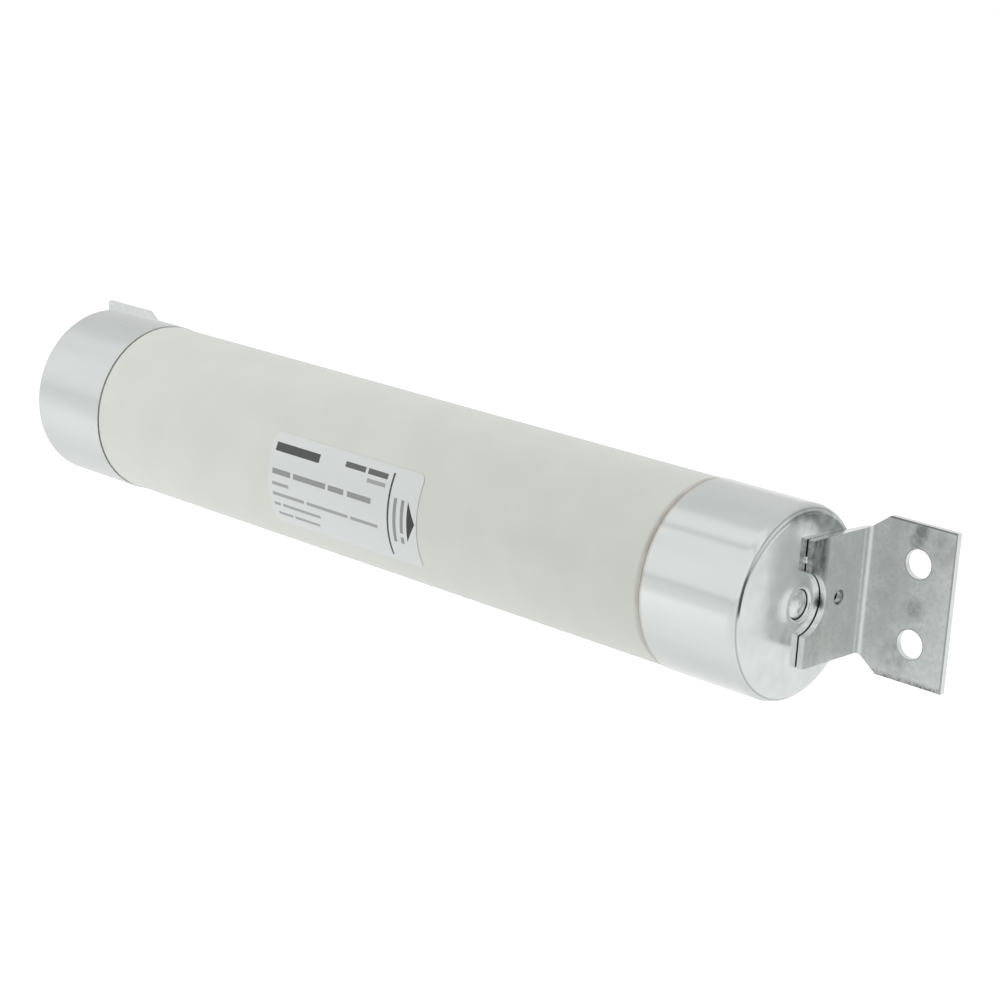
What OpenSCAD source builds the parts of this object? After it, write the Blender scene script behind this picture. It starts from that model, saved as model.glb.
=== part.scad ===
// Motor fuse link: a ceramic fuse body with plated end caps, bolted down by two bent end tags.
// X runs along the fuse, with +X at the striker end. Y is square to the mounting plane, which the
// backs of the tags touch at Y = 0. Z is up. The origin is the centre of the four fixing holes.
// Every size is in millimetres.

/* [Barrel] */
// Outside diameter of the ceramic barrel
barrel_d = 76.2; // [72:0.1:90]
// Length of the barrel between its ground ends
barrel_len = 403; // [320:1:480]
// Wall of the barrel at its middle
barrel_wall = 7.1; // [6:0.1:10]
// Chamfer at the mouth of the barrel's bore
bore_chamfer = 0.8; // [0.3:0.1:1.5]
// Height from the mounting plane to the fuse's own axis
axis_height = 40; // [39.5:0.1:60]

/* [Outer caps] */
// How far an outer cap stands proud of the barrel
cap_proud = 0.5; // [0.2:0.05:1.2]
// Sheet thickness of an outer cap
cap_wall = 1.3; // [0.8:0.1:1.8]
// Length of an outer cap from its lip to its end face
cap_len = 46; // [36:0.5:60]
// Outside radius of the cap's drawn corner
cap_corner_r = 4.2; // [3.2:0.1:5.5]
// Gap between the cap's lip and the barrel's ground shoulder
lip_gap = 0.6; // [0.3:0.1:1.5]
// Clearance of a cap on its seat, all round
cap_fit = 0.1; // [0.05:0.01:0.2]
// Rounding at the edge of the striker's hole
hole_rim_r = 1; // [0.4:0.1:1.1]
// Height of the pressed boss round the striker's hole
boss_h = 0.4; // [0.2:0.05:0.7]
// Width of the boss's top outside the hole's rounding
boss_land = 1; // [0.8:0.1:1.4]
// Width of the slope round the boss
boss_slope_w = 4.4; // [3.6:0.1:5]
// Rounding at the top and at the foot of that slope
boss_soft_r = 12; // [6:0.5:12]

/* [Inner caps] */
// Sheet thickness of an inner cap
inner_cap_wall = 1; // [0.6:0.1:1.4]
// Length of an inner cap from its lip to its end face
inner_cap_len = 24; // [16:0.5:32]
// Thickness of the gasket on the barrel's end
gasket_t = 1.4; // [1:0.1:2.5]
// Thickness of the washer between an inner and an outer cap
washer_t = 2.3; // [1.8:0.1:3.5]
// Radius of the hole in that washer
washer_hole_r = 14; // [12:0.5:24]
// Room between that washer and the outer cap's drawn corner
washer_edge_gap = 0.4; // [0.2:0.1:2]

/* [Fixing tags] */
// Sheet thickness of a tag
tag_t = 2.6; // [1.6:0.1:4]
// Inside radius of the tag's bend
tag_bend_r = 2; // [1:0.1:4]
// Width of the foot on the cap's end face
tag_foot_w = 50.4; // [40:0.2:60]
// Width of the blade that is bolted down
tag_blade_w = 63.2; // [61:0.2:80]
// Reach of the blade beyond the foot's soldered face
tag_reach = 41.5; // [36:0.1:60]
// Place of the foot's free edge, past the fuse's axis
tag_edge_offset = 1.5; // [0:0.1:6]
// Distance from the foot's soldered face to where the blade gets its full width
tag_full_width_at = 11.4; // [9:0.1:18]
// Radius of the notch that clears the boss and the striker
tag_notch_r = 12.7; // [12.2:0.1:16]
// Radius of a fixing hole
fixing_hole_r = 5.75; // [4:0.05:7]
// Distance between the two fixing holes of one tag
fixing_hole_pitch = 31.8; // [24:0.1:40]
// Distance from the foot's soldered face to the fixing holes
fixing_hole_x = 25.6; // [20:0.1:30]
// Radius of the small jig hole in the foot
jig_hole_r = 2.6; // [1.5:0.1:4]
// Distance from the fuse's axis to the jig hole
jig_hole_y = 20.8; // [18:0.1:28]
// Thickness of the solder under the foot
solder_t = 0.4; // [0.1:0.05:0.8]
// How far the solder stays inside the foot's edges
solder_inset = 1.5; // [0.5:0.1:3]

/* [Fuse elements] */
// Radius of the circle that the strips stand on
element_pitch_r = 19; // [17:0.5:22]
// Width of a strip
element_w = 6; // [5:0.5:8]
// Thickness of a strip
element_t = 0.3; // [0.2:0.05:0.5]
// Height of the corrugation to either side of its middle
wave_h = 1.8; // [1:0.1:2.5]
// Length of one flat of the corrugation
wave_flat = 8; // [6:0.5:12]
// Length of one slope of the corrugation
wave_slope = 4; // [3:0.5:6]
// Least straight run at each end of a strip
lead_min = 8; // [4:1:20]
// Length of the foot that is welded to the end plate
element_foot = 5; // [3:0.5:6]
// Radius of the notches in a strip's edges
edge_notch_r = 1.4; // [0.8:0.1:1.5]
// Radius of the hole in the middle of each flat
neck_hole_r = 0.7; // [0.4:0.1:0.8]
// Radius of the low-melting bead on a strip's middle flat
bead_r = 2; // [1.2:0.1:2.8]
// Height of that bead
bead_h = 0.9; // [0.5:0.1:1.2]

/* [End plates and filling] */
// Thickness of an element end plate
plate_t = 1.6; // [1:0.1:3]
// Room between an end plate and the barrel's bore
plate_gap = 2; // [1:0.5:4]
// Radius of the sand holes in the plain end's plate
sand_hole_r = 3.4; // [2:0.1:3.6]
// Radius of the circle of sand holes
sand_hole_pitch_r = 8; // [7:0.1:9]
// Radius of the filling plug's shank
plug_r = 6; // [4:0.5:9]
// How far the filling plug's head reaches past its shank
plug_head_rim = 2; // [1:0.5:3]
// Gap around what the sand lies against
sand_gap = 0.1; // [0.05:0.05:0.2]
// Room between the outer cap's end and the heads under it
head_gap = 0.9; // [0.4:0.1:1.2]

/* [Striker] */
// Radius of the striker pin
pin_r = 5.5; // [4.4:0.1:5.7]
// Travel of the pin when the fuse has operated
pin_travel = 25; // [15:1:32]
// How far the pin's crown stands out of the boss at rest
pin_crown_out = 0.1; // [-0.3:0.1:0.6]
// Radius of the sphere that the pin's crown is part of
pin_crown_r = 12; // [8:0.5:20]
// Wall of the pin around its spring
pin_wall = 1; // [0.8:0.1:1.2]
// Thickness of the pin's crown
pin_crown_t = 3; // [2:0.1:5]
// Thickness of the collar that stops the pin
collar_t = 3; // [2:0.1:5]
// Gap round the pin in the outer cap's hole
pin_hole_gap = 0.4; // [0.3:0.05:0.8]
// Running clearance of the pin in its guide
pin_running = 0.05; // [0.02:0.01:0.1]
// Outside radius of the striker's tube
striker_tube_r = 7.6; // [7.2:0.1:9]
// Wall of the striker's tube
striker_tube_wall = 1.2; // [0.8:0.1:1.3]
// Reach of the tube's flange past the tube
flange_rim = 2.4; // [1.5:0.1:4]
// Length of the guide bush
guide_len = 11; // [6:0.5:16]
// Thickness of the plug that closes the tube's tail
tail_plug_t = 6; // [4:0.5:10]
// Gap left where the pin's collar meets its stops
stop_gap = 0.3; // [0.2:0.1:1]
// Clearance round the parts pressed into the tube and the caps
press_gap = 0.05; // [0.02:0.01:0.1]

/* [Striker spring and wire] */
// Radius of the spring's wire
spring_wire_r = 0.4; // [0.3:0.05:0.5]
// Number of turns of the spring
spring_turns = 12; // [6:1:16]
// Gap around the spring in the pin's bore
spring_gap = 0.25; // [0.15:0.05:0.5]
// Radius of the wire that holds the pin back
hold_wire_r = 0.3; // [0.2:0.05:0.4]
// Clearance around that wire where it passes through something
hold_wire_gap = 0.1; // [0.05:0.05:0.3]
// Radius of the ferrule that anchors the wire
ferrule_r = 2; // [1.5:0.1:3]
// Length of that ferrule
ferrule_len = 3; // [2:0.5:6]

/* [Label] */
// Length of the blank label along the barrel
label_len = 89; // [40:1:120]
// Height of the label round the barrel
label_h = 41.6; // [20:1:60]
// Place of the label's middle along the barrel
label_x = -1.4; // [-40:0.1:40]
// Angle of the label's middle below the side that faces away from the mounting plane
label_angle = 3.2; // [-30:0.1:30]
// Thickness of the label
label_t = 0.15; // [0.1:0.05:0.3]
// Thickness of the adhesive under the label
label_film = 0.05; // [0.02:0.01:0.1]
// Radius of the label's corners
label_corner_r = 3; // [1:0.5:6]

/* [Hidden] */
$fn = 96;

// A cut reaches this far past the faces that it opens
cut = 1;

// Strips side by side, each in a node of its own
element_count = 6;

// Radii of the barrel, its ground seats and the caps on them
barrel_r = barrel_d / 2;
bore_r = barrel_r - barrel_wall;
cap_r = barrel_r + cap_proud;
cap_bore_r = cap_r - cap_wall;
inner_cap_r = cap_bore_r - cap_fit;
inner_cap_bore_r = inner_cap_r - inner_cap_wall;
outer_seat_r = cap_bore_r - cap_fit;
inner_seat_r = inner_cap_bore_r - cap_fit;

// Faces of one end, counted along the fuse from its middle
barrel_end_x = barrel_len / 2;
inner_cap_in_x = barrel_end_x + gasket_t;
inner_cap_out_x = inner_cap_in_x + inner_cap_wall;
cap_in_x = inner_cap_out_x + washer_t;
face_x = cap_in_x + cap_wall;
lip_x = face_x - cap_len;
shoulder_x = lip_x - lip_gap;
inner_lip_x = inner_cap_out_x - inner_cap_len;
inner_shoulder_x = inner_lip_x - lip_gap;
tag_x = face_x + solder_t;

// Corners of the nested caps follow one another with the sheet between them
cap_inner_corner_r = cap_corner_r - cap_wall;
inner_cap_corner_r = max(inner_cap_wall + 0.2, cap_inner_corner_r);
inner_cap_inner_corner_r = inner_cap_corner_r - inner_cap_wall;
barrel_corner_r = inner_cap_inner_corner_r;

// End plates and the strips between them
plate_r = bore_r - plate_gap;
plate_face_x = inner_cap_in_x - plate_t;
strip_half = plate_face_x - element_t;
wave_step = wave_flat + wave_slope;
flat_count = 2 * floor((strip_half - lead_min - wave_flat / 2) / wave_step) + 1;
last_flat = (flat_count - 1) / 2;
wave_end = last_flat * wave_step + wave_flat / 2 + wave_slope / 2;

// Striker, from its crown back to the plug in its tube
crown_x = face_x + boss_h + pin_crown_out;
head_t = washer_t - head_gap;
mouth_x = inner_cap_out_x + head_t;
stop_x = mouth_x - guide_len;
collar_out_x = stop_x - stop_gap - pin_travel;
collar_in_x = collar_out_x - collar_t;
tail_plug_x = collar_in_x - stop_gap;
tube_tail_x = tail_plug_x - tail_plug_t;
tube_bore_r = striker_tube_r - striker_tube_wall;
pin_bore_r = pin_r - pin_wall;
pin_blind_x = crown_x - pin_crown_t;
spring_r = pin_bore_r - spring_gap - spring_wire_r;
cap_hole_r = pin_r + pin_hole_gap;
boss_top_r = cap_hole_r + hole_rim_r + boss_land;
boss_base_r = boss_top_r + boss_slope_w;

// Inside and outside radii of the wrapped label
label_in_r = barrel_r + label_film;
label_out_r = label_in_r + label_t;

// Points of the corrugated strip's middle line, from the plain end to the striker end
function flat_side(i) = abs(i) % 2 == 0 ? 1 : -1;
function wave_line() = concat(
    [[-wave_end, 0]],
    [for (i = [-last_flat : last_flat], e = [-1, 1])
        [i * wave_step + e * wave_flat / 2, flat_side(i) * wave_h]],
    [[wave_end, 0]]);

// Points round a circle about X and the triangles between rings of them
function ring(x, a, r, wire, sides) = [for (k = [0 : sides - 1])
    let (b = k * 360 / sides, q = r + wire * cos(b))
    [x + wire * sin(b), q * cos(a), q * sin(a)]];
function ring_faces(rings, sides) = [for (j = [0 : rings - 2], k = [0 : sides - 1])
    let (n = (k + 1) % sides)
    [j * sides + k, j * sides + n, (j + 1) * sides + n, (j + 1) * sides + k]];

// Puts a shape drawn up the Z axis on the fuse's own axis, from x towards the striker end
module on_axis(x = 0) {
    translate([x, -axis_height, 0]) rotate([0, 90, 0]) children();
}

// Puts a shape made for the striker end at the plain end
module plain_end() {
    mirror([1, 0, 0]) children();
}

// Half of a round body's section: radius r, height h, with its top corner rounded
module rounded_section(r, h, corner) {
    square([r, h - corner]);
    square([r - corner, h]);
    translate([r - corner, h - corner]) circle(r = corner);
}

// A drawn cup with its mouth down at height 0 and a hole through its end
module drawn_cup(r, h, wall, corner, hole_r) {
    rotate_extrude() difference() {
        intersection() {
            rounded_section(r, h, corner);
            square([r + cut, h]);
        }
        translate([0, -cut]) intersection() {
            rounded_section(r - wall, h - wall + cut, corner - wall);
            square([r, h - wall + cut]);
        }
        if (hole_r > 0) translate([0, h - wall - cut]) square([hole_r, wall + 2 * cut]);
    }
}

// A flat ring
module flat_ring(outer_r, inner_r, t) {
    difference() {
        cylinder(r = outer_r, h = t);
        translate([0, 0, -cut]) cylinder(r = inner_r, h = t + 2 * cut);
    }
}

// Ceramic tube with two ground steps at each end, one for each cap
module barrel_end_seat() {
    on_axis(inner_shoulder_x) flat_ring(barrel_r + cut, inner_seat_r, barrel_end_x);
    on_axis(shoulder_x) flat_ring(barrel_r + cut, outer_seat_r, barrel_end_x);
    on_axis(barrel_end_x - barrel_corner_r) rotate_extrude() difference() {
        translate([inner_seat_r - barrel_corner_r, 0]) square([barrel_corner_r + cut, barrel_corner_r + cut]);
        translate([inner_seat_r - barrel_corner_r, 0]) circle(r = barrel_corner_r);
    }
    on_axis(barrel_end_x - bore_chamfer) cylinder(r1 = bore_r, r2 = bore_r + bore_chamfer, h = bore_chamfer);
}

module ceramic_barrel() {
    color("#DADCD2") difference() {
        on_axis(-barrel_end_x) flat_ring(barrel_r, bore_r, barrel_len);
        barrel_end_seat();
        plain_end() barrel_end_seat();
    }
}

// Blank label wrapped on the side that faces away from the mounting plane
module label_outline() {
    flat_h = 2 * label_out_r * sin(label_h / barrel_r * 90 / PI);
    for (sx = [-1, 1], sz = [-1, 1])
        translate([sx * (label_len / 2 - label_corner_r), sz * (flat_h / 2 - label_corner_r)])
            circle(r = label_corner_r);
    square([label_len - 2 * label_corner_r, flat_h], center = true);
    square([label_len, flat_h - 2 * label_corner_r], center = true);
}

module rating_label() {
    color("#DDE0E0") translate([label_x, -axis_height, 0]) rotate([label_angle, 0, 0]) intersection() {
        translate([-label_len / 2, 0, 0]) rotate([0, 90, 0])
            flat_ring(label_out_r, label_in_r, label_len);
        rotate([90, 0, 0]) linear_extrude(label_out_r + cut) label_outline();
    }
}

module outer_cap(hole_r) {
    on_axis(lip_x) drawn_cup(cap_r, cap_len, cap_wall, cap_corner_r, hole_r);
}

// Low boss with a flat top, a slope and soft roundings above and below the slope
module boss() {
    slope = atan2(boss_h, boss_slope_w);
    soft = boss_soft_r * tan(slope / 2);
    round_r = boss_top_r + soft * cos(slope);
    round_h = boss_h - soft * sin(slope);
    rotate_extrude() {
        difference() {
            polygon([
                [0, 0], [boss_base_r + soft, 0], [boss_base_r - soft * cos(slope), soft * sin(slope)],
                [round_r, round_h], [boss_top_r - soft, boss_h], [0, boss_h]
            ]);
            translate([boss_base_r + soft, boss_soft_r]) circle(r = boss_soft_r);
        }
        intersection() {
            polygon([
                [boss_top_r - soft, round_h], [boss_top_r - soft, boss_h], [boss_top_r, boss_h], [round_r, round_h]
            ]);
            translate([boss_top_r - soft, boss_h - boss_soft_r]) circle(r = boss_soft_r);
        }
    }
}

// The striker end's cap has a pressed boss in its end, with a hole whose edge is rounded
module striker_end_outer_cap() {
    color("#D5DAD8") difference() {
        union() {
            outer_cap(0);
            on_axis(face_x) boss();
        }
        on_axis(cap_in_x) boss();
        on_axis(cap_in_x - cut) cylinder(r = cap_hole_r, h = cap_wall + boss_h + 2 * cut);
        on_axis(face_x + boss_h - hole_rim_r) rotate_extrude() difference() {
            square([cap_hole_r + hole_rim_r, hole_rim_r + cut]);
            translate([cap_hole_r + hole_rim_r, 0]) circle(r = hole_rim_r);
        }
    }
}

module plain_end_outer_cap() {
    color("#D5DAD8") plain_end() outer_cap(0);
}

module inner_cap(hole_r) {
    on_axis(inner_lip_x) drawn_cup(inner_cap_r, inner_cap_len, inner_cap_wall, inner_cap_corner_r, hole_r);
}

module striker_end_inner_cap() {
    color("#C98B62") inner_cap(striker_tube_r + press_gap);
}

module plain_end_inner_cap() {
    color("#C98B62") plain_end() inner_cap(plug_r + press_gap);
}

module end_gasket() {
    on_axis(barrel_end_x) flat_ring(inner_seat_r - barrel_corner_r, bore_r + bore_chamfer, gasket_t);
}

module striker_end_gasket() {
    color("#6B6E6A") end_gasket();
}

module plain_end_gasket() {
    color("#6B6E6A") plain_end() end_gasket();
}

module cap_washer() {
    on_axis(inner_cap_out_x) flat_ring(cap_bore_r - cap_inner_corner_r - washer_edge_gap, washer_hole_r, washer_t);
}

module striker_end_washer() {
    color("#2E3030") cap_washer();
}

module plain_end_washer() {
    color("#2E3030") plain_end() cap_washer();
}

// Tag bent from one plate: a foot on the cap's end face and a blade along the mounting plane
module tag_section() {
    bend_out_r = tag_bend_r + tag_t;
    translate([0, tag_edge_offset]) square([tag_t, axis_height - tag_edge_offset - bend_out_r]);
    translate([bend_out_r, axis_height - tag_t]) square([tag_reach - bend_out_r, tag_t]);
    translate([bend_out_r, axis_height - bend_out_r]) intersection() {
        difference() {
            circle(r = bend_out_r);
            circle(r = tag_bend_r);
        }
        translate([-bend_out_r, 0]) square(bend_out_r);
    }
}

module tag_blade_outline() {
    foot_half = tag_foot_w / 2;
    blade_half = tag_blade_w / 2;
    flare_x = tag_t;
    polygon([
        [-cut, -foot_half], [flare_x, -foot_half], [tag_full_width_at, -blade_half],
        [tag_reach + cut, -blade_half], [tag_reach + cut, blade_half],
        [tag_full_width_at, blade_half], [flare_x, foot_half], [-cut, foot_half]
    ]);
}

module tag() {
    translate([tag_x, -axis_height, 0]) difference() {
        intersection() {
            translate([0, 0, -tag_blade_w / 2 - cut]) linear_extrude(tag_blade_w + 2 * cut) tag_section();
            rotate([90, 0, 0]) translate([0, 0, -axis_height - cut])
                linear_extrude(axis_height + 2 * cut) tag_blade_outline();
        }
        translate([-cut, 0, 0]) rotate([0, 90, 0]) cylinder(r = tag_notch_r, h = tag_t + 2 * cut);
        translate([-cut, jig_hole_y, 0]) rotate([0, 90, 0]) cylinder(r = jig_hole_r, h = tag_t + 2 * cut);
        for (side = [-1, 1])
            translate([fixing_hole_x, axis_height + cut, side * fixing_hole_pitch / 2])
                rotate([90, 0, 0]) cylinder(r = fixing_hole_r, h = tag_t + 2 * cut);
    }
}

module striker_end_tag() {
    color("#A9AEAC") tag();
}

module plain_end_tag() {
    color("#A9AEAC") plain_end() tag();
}

// Thin solder film that joins the foot to the cap
module tag_solder() {
    solder_top = min(axis_height - tag_bend_r - tag_t, cap_r - cap_corner_r) - solder_inset;
    solder_low = tag_edge_offset + solder_inset;
    translate([face_x, -axis_height, 0]) intersection() {
        difference() {
            translate([0, solder_low, solder_inset - tag_foot_w / 2])
                cube([solder_t, solder_top - solder_low, tag_foot_w - 2 * solder_inset]);
            translate([-cut, 0, 0]) rotate([0, 90, 0])
                cylinder(r = tag_notch_r + solder_inset, h = solder_t + 2 * cut);
            translate([-cut, jig_hole_y, 0]) rotate([0, 90, 0])
                cylinder(r = jig_hole_r + solder_inset, h = solder_t + 2 * cut);
        }
        rotate([0, 90, 0]) cylinder(r = cap_r - cap_corner_r, h = solder_t);
    }
}

module striker_end_tag_solder() {
    color("#B9BDBB") tag_solder();
}

module plain_end_tag_solder() {
    color("#B9BDBB") plain_end() tag_solder();
}

// End plates that the strips are welded to
module striker_end_element_plate() {
    color("#C98B62") on_axis(plate_face_x)
        flat_ring(plate_r, striker_tube_r + press_gap, plate_t);
}

module plain_end_element_plate() {
    color("#C98B62") plain_end() on_axis(plate_face_x) difference() {
        flat_ring(plate_r, ferrule_r + press_gap, plate_t);
        for (k = [0 : 2])
            rotate([0, 0, k * 120]) translate([sand_hole_pitch_r, 0, -cut])
                cylinder(r = sand_hole_r, h = plate_t + 2 * cut);
    }
}

// Section of a corrugated strip with a welded foot at each end, or of the channel with a gap round it
module strip_section(gap, end) {
    middle = wave_line();
    half_t = element_t / 2 + gap;
    foot_in_x = plate_face_x - element_t - gap;
    foot_out_x = plate_face_x + end;
    foot_low = element_t / 2 - element_foot - gap;
    polygon(concat(
        [[-foot_in_x, foot_low], [-foot_out_x, foot_low], [-foot_out_x, half_t]],
        [for (p = middle) p + [0, half_t]],
        [[foot_out_x, half_t], [foot_out_x, foot_low], [foot_in_x, foot_low], [foot_in_x, -half_t]],
        [for (i = [len(middle) - 1 : -1 : 0]) middle[i] - [0, half_t]],
        [[-foot_in_x, -half_t]]));
}

// Turns a shape drawn in X and height to the place of strip k
module at_strip(k) {
    translate([0, -axis_height, 0]) rotate([k * 360 / element_count, 0, 0])
        translate([0, 0, element_pitch_r]) children();
}

module strip(k) {
    at_strip(k) difference() {
        rotate([90, 0, 0]) translate([0, 0, -element_w / 2])
            linear_extrude(element_w) strip_section(0, 0);
        for (i = [-last_flat : last_flat]) if (i != 0)
            translate([i * wave_step, 0, flat_side(i) * wave_h - element_t / 2 - cut]) {
                cylinder(r = neck_hole_r, h = element_t + 2 * cut);
                for (side = [-1, 1])
                    translate([0, side * element_w / 2, 0]) cylinder(r = edge_notch_r, h = element_t + 2 * cut);
            }
    }
}

module fuse_element(number) {
    color("#D9DAD6") strip(number - 1);
}

// Low-melting bead on the middle flat of each strip
module bead(gap) {
    bead_sphere_r = (bead_r * bead_r + bead_h * bead_h) / (2 * bead_h);
    translate([0, 0, wave_h + element_t / 2]) intersection() {
        translate([0, 0, bead_h - bead_sphere_r]) sphere(r = bead_sphere_r + gap);
        cylinder(r = bead_r + cut, h = bead_h + cut);
    }
}

module solder_beads() {
    color("#9DA19F") for (k = [0 : element_count - 1]) at_strip(k) bead(0);
}

// Packed quartz sand round the strips, the striker's tube and its wire
module quartz_filler() {
    color("#CFC6AE") difference() {
        on_axis(-plate_face_x) cylinder(r = bore_r - sand_gap, h = 2 * plate_face_x);
        for (k = [0 : element_count - 1]) at_strip(k) {
            rotate([90, 0, 0]) translate([0, 0, -element_w / 2 - sand_gap])
                linear_extrude(element_w + 2 * sand_gap) strip_section(sand_gap, cut);
            bead(sand_gap);
        }
        on_axis(tube_tail_x - sand_gap) cylinder(r = striker_tube_r + sand_gap, h = plate_face_x);
        on_axis(-plate_face_x - cut) cylinder(r = hold_wire_r + hold_wire_gap, h = 2 * plate_face_x);
        on_axis(-plate_face_x - cut) cylinder(r = ferrule_r + sand_gap, h = cut + ferrule_len - plate_t + sand_gap);
    }
}

// Plug that closes the filling hole of the plain end's inner cap
module sand_plug() {
    color("#B7A13F") plain_end() {
        on_axis(inner_cap_in_x) cylinder(r = plug_r, h = inner_cap_wall);
        on_axis(inner_cap_out_x) cylinder(r = plug_r + plug_head_rim, h = head_t);
    }
}

// Flanged tube that carries the striker in the inner cap
module striker_tube() {
    color("#C4A24E") difference() {
        union() {
            on_axis(tube_tail_x) cylinder(r = striker_tube_r, h = mouth_x - tube_tail_x);
            on_axis(inner_cap_out_x) cylinder(r = striker_tube_r + flange_rim, h = head_t);
        }
        on_axis(tube_tail_x - cut) cylinder(r = tube_bore_r, h = mouth_x - tube_tail_x + 2 * cut);
    }
}

module striker_guide_bush() {
    color("#B89A4A") on_axis(stop_x) flat_ring(tube_bore_r - press_gap, pin_r + pin_running, guide_len);
}

module striker_tail_plug() {
    color("#7A4A2E") on_axis(tube_tail_x) flat_ring(tube_bore_r - press_gap, hold_wire_r + hold_wire_gap, tail_plug_t);
}

// Hollow pin with a domed crown and the collar that its guide stops
module striker_pin() {
    color("#C9CCC8") difference() {
        union() {
            on_axis(collar_in_x) cylinder(r = tube_bore_r - 2 * press_gap, h = collar_t);
            intersection() {
                on_axis(collar_in_x) cylinder(r = pin_r, h = crown_x - collar_in_x);
                translate([crown_x - pin_crown_r, -axis_height, 0]) union() {
                    sphere(r = pin_crown_r);
                    rotate([0, -90, 0]) cylinder(r = pin_crown_r, h = crown_x - collar_in_x);
                }
            }
        }
        on_axis(collar_in_x - cut) cylinder(r = pin_bore_r, h = pin_blind_x - collar_in_x + cut);
    }
}

// Compression spring between the tail plug and the pin's crown
module striker_spring() {
    sides = 6;
    steps = spring_turns * 14;
    low_x = tail_plug_x + spring_wire_r + press_gap;
    high_x = pin_blind_x - spring_wire_r - press_gap;
    rings = [for (j = [0 : steps])
        let (u = j / steps, a = u * spring_turns * 360)
        ring(low_x + (high_x - low_x) * u, a, spring_r, spring_wire_r, sides)];
    color("#8E9290") translate([0, -axis_height, 0]) polyhedron(
        points = [for (one = rings, p = one) p],
        faces = concat(
            ring_faces(steps + 1, sides),
            [[for (k = [sides - 1 : -1 : 0]) k]],
            [[for (k = [0 : sides - 1]) steps * sides + k]]));
}

// Wire that holds the pin back until it melts
module striker_hold_wire() {
    color("#A8ABA8") on_axis(-inner_cap_in_x) cylinder(r = hold_wire_r, h = pin_blind_x + inner_cap_in_x);
}

module hold_wire_ferrule() {
    color("#C4A24E") plain_end() on_axis(inner_cap_in_x - ferrule_len)
        flat_ring(ferrule_r, hold_wire_r + press_gap, ferrule_len);
}

ceramic_barrel();
rating_label();
striker_end_outer_cap();
plain_end_outer_cap();
striker_end_inner_cap();
plain_end_inner_cap();
striker_end_gasket();
plain_end_gasket();
striker_end_washer();
plain_end_washer();
striker_end_tag();
plain_end_tag();
striker_end_tag_solder();
plain_end_tag_solder();
striker_end_element_plate();
plain_end_element_plate();
fuse_element(1);  // fuse_element_1
fuse_element(2);  // fuse_element_2
fuse_element(3);  // fuse_element_3
fuse_element(4);  // fuse_element_4
fuse_element(5);  // fuse_element_5
fuse_element(6);  // fuse_element_6
solder_beads();
quartz_filler();
sand_plug();
striker_tube();
striker_guide_bush();
striker_tail_plug();
striker_pin();
striker_spring();
striker_hold_wire();
hold_wire_ferrule();
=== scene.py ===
import math

import bpy
from mathutils import Matrix, Vector


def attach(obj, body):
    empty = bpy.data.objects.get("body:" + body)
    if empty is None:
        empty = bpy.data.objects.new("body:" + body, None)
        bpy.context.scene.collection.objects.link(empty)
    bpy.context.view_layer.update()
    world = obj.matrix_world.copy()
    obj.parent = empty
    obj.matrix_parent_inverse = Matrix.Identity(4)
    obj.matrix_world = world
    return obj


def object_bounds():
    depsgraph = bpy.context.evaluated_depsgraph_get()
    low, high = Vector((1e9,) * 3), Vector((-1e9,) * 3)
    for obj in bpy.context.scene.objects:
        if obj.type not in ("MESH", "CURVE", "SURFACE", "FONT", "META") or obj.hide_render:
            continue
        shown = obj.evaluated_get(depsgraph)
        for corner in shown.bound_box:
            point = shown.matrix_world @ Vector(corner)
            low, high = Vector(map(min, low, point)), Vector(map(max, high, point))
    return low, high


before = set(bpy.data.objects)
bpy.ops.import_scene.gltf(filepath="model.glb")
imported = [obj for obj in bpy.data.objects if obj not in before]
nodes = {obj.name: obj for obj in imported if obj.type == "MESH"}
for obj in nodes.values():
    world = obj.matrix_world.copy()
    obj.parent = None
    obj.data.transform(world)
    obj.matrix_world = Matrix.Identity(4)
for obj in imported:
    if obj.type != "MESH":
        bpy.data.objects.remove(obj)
cad_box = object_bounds()

# Places that the finishes and the small pieces need, in metres, as the part has them
MM = 0.001
AXIS_Y = -0.040
BARREL_R = 0.0381
FACE_X = 0.2075
LIP_X = 0.1615
CORNER_RING_R = 0.0370
BOSS_BASE_R = 0.0123
JIG_HOLE_Y = -0.0192
JIG_HOLE_R = 0.0026
FIXING_HOLE_X = 0.2335
FIXING_HOLE_Z = 0.0159
FIXING_HOLE_R = 0.00575
TAG_FACE_X = 0.2105
TAG_FREE_EDGE_Y = -0.0385
BLADE_HALF = 0.0316
BLADE_END_X = 0.2494


# Turns an sRGB hex colour to linear
def linear(hex_colour):
    parts = [int(hex_colour[i:i + 2], 16) / 255 for i in (1, 3, 5)]
    return [c / 12.92 if c <= 0.04045 else ((c + 0.055) / 1.055) ** 2.4 for c in parts] + [1.0]


# Adds a node with its settings, links or sets its inputs, by name or in order, and returns its outputs
def add(tree, kind, inputs=(), **settings):
    node = tree.nodes.new("ShaderNode" + kind)
    for name, value in settings.items():
        setattr(node, name, value)
    for socket, value in inputs.items() if isinstance(inputs, dict) else enumerate(inputs):
        if isinstance(value, bpy.types.NodeSocket):
            tree.links.new(value, node.inputs[socket])
        else:
            node.inputs[socket].default_value = value
    return node.outputs


# Starts a material and returns it with its tree and its coordinates
def start_material(name):
    material = bpy.data.materials.new(name)
    material.use_nodes = True
    material.node_tree.nodes.clear()
    return material, material.node_tree, add(material.node_tree, "TexCoord")


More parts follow.
